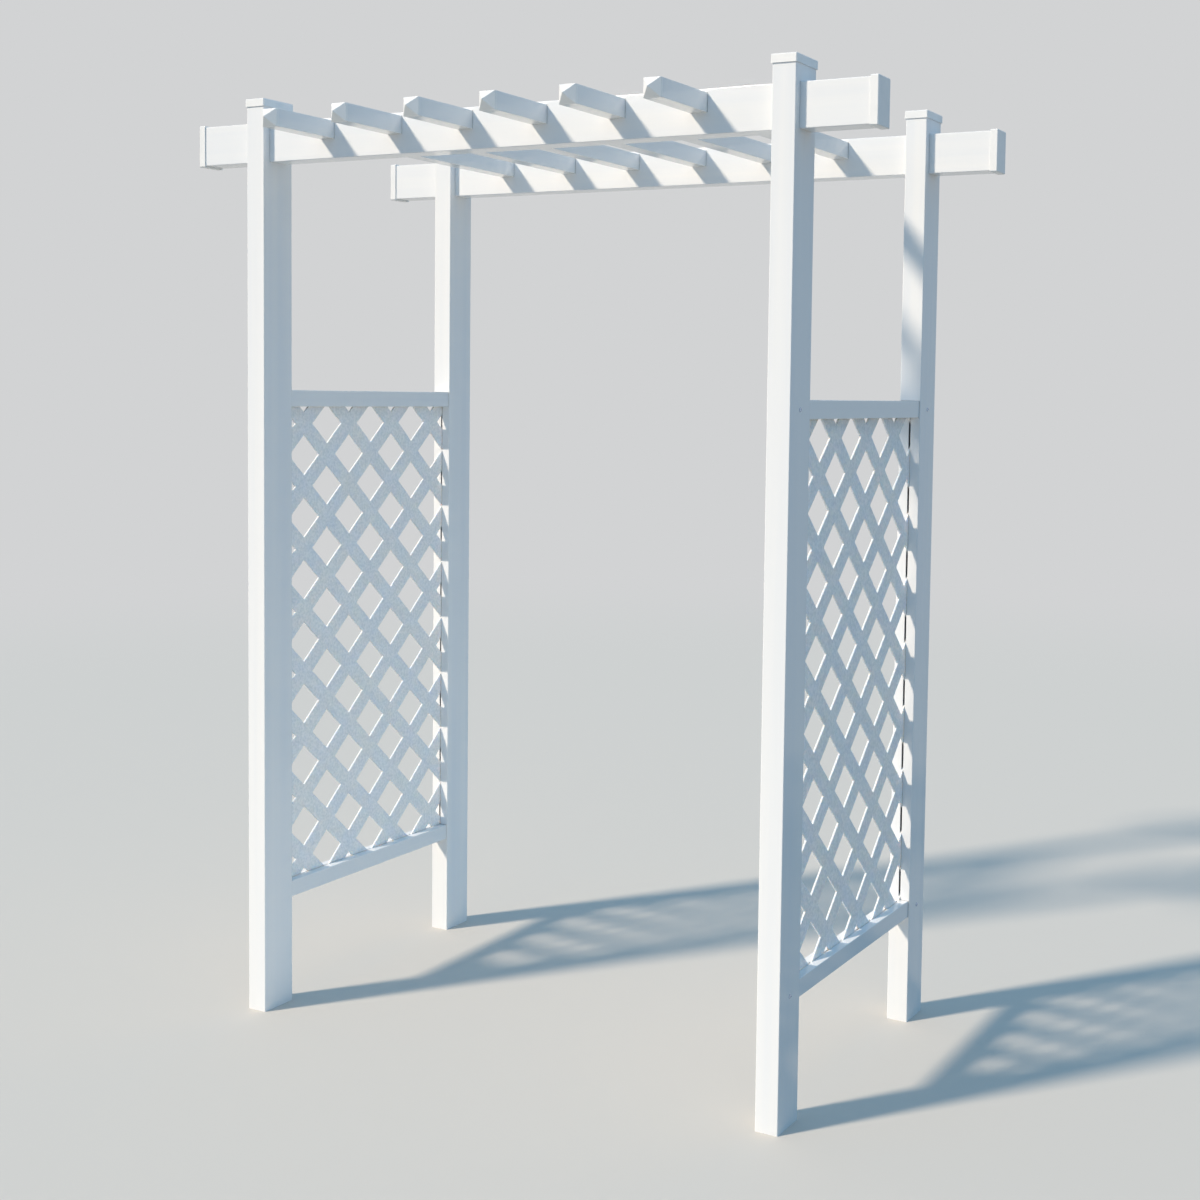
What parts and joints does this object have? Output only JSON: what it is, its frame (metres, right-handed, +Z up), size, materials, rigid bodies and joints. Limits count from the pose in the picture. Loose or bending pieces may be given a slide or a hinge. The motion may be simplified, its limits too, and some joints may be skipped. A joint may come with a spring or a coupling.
{
  "type": "garden arbor",
  "caption": "White vinyl garden arbor: hollow posts with through beams, pergola rafters and diagonal lattice side panels, to frame a path and carry climbing plants.",
  "frame": {"origin": "on the ground in the middle between the four posts", "axes": "+X across the walkway, +Y through the walkway from front to rear, +Z up"},
  "size_m": [1.7108, 1.116, 2.1012],
  "materials": {
    "extruded_vinyl": "satin white",
    "moulded_vinyl": "satin white",
    "lattice_vinyl": "fine matte white",
    "stainless_screw": "plain stainless"
  },
  "bodies": {
    "root": {"beam_cap_front_left": "moulded_vinyl", "beam_cap_front_right": "moulded_vinyl", "beam_cap_rear_left": "moulded_vinyl", "beam_cap_rear_right": "moulded_vinyl", "beam_front": "extruded_vinyl", "beam_rear": "extruded_vinyl", "bottom_rail_left": "extruded_vinyl", "bottom_rail_right": "extruded_vinyl", "lattice_left": "lattice_vinyl", "lattice_right": "lattice_vinyl", "post_cap_front_left": "moulded_vinyl", "post_cap_front_right": "moulded_vinyl", "post_cap_rear_left": "moulded_vinyl", "post_cap_rear_right": "moulded_vinyl", "post_front_left": "extruded_vinyl", "post_front_right": "extruded_vinyl", "post_rear_left": "extruded_vinyl", "post_rear_right": "extruded_vinyl", "rafter_1": "extruded_vinyl", "rafter_2": "extruded_vinyl", "rafter_3": "extruded_vinyl", "rafter_4": "extruded_vinyl", "rafter_5": "extruded_vinyl", "rafter_6": "extruded_vinyl", "rafter_cap_front_1": "moulded_vinyl", "rafter_cap_front_2": "moulded_vinyl", "rafter_cap_front_3": "moulded_vinyl", "rafter_cap_front_4": "moulded_vinyl", "rafter_cap_front_5": "moulded_vinyl", "rafter_cap_front_6": "moulded_vinyl", "rafter_cap_rear_1": "moulded_vinyl", "rafter_cap_rear_2": "moulded_vinyl", "rafter_cap_rear_3": "moulded_vinyl", "rafter_cap_rear_4": "moulded_vinyl", "rafter_cap_rear_5": "moulded_vinyl", "rafter_cap_rear_6": "moulded_vinyl", "rail_screws": "stainless_screw", "top_rail_left": "extruded_vinyl", "top_rail_right": "extruded_vinyl"}
  },
  "joints": []
}
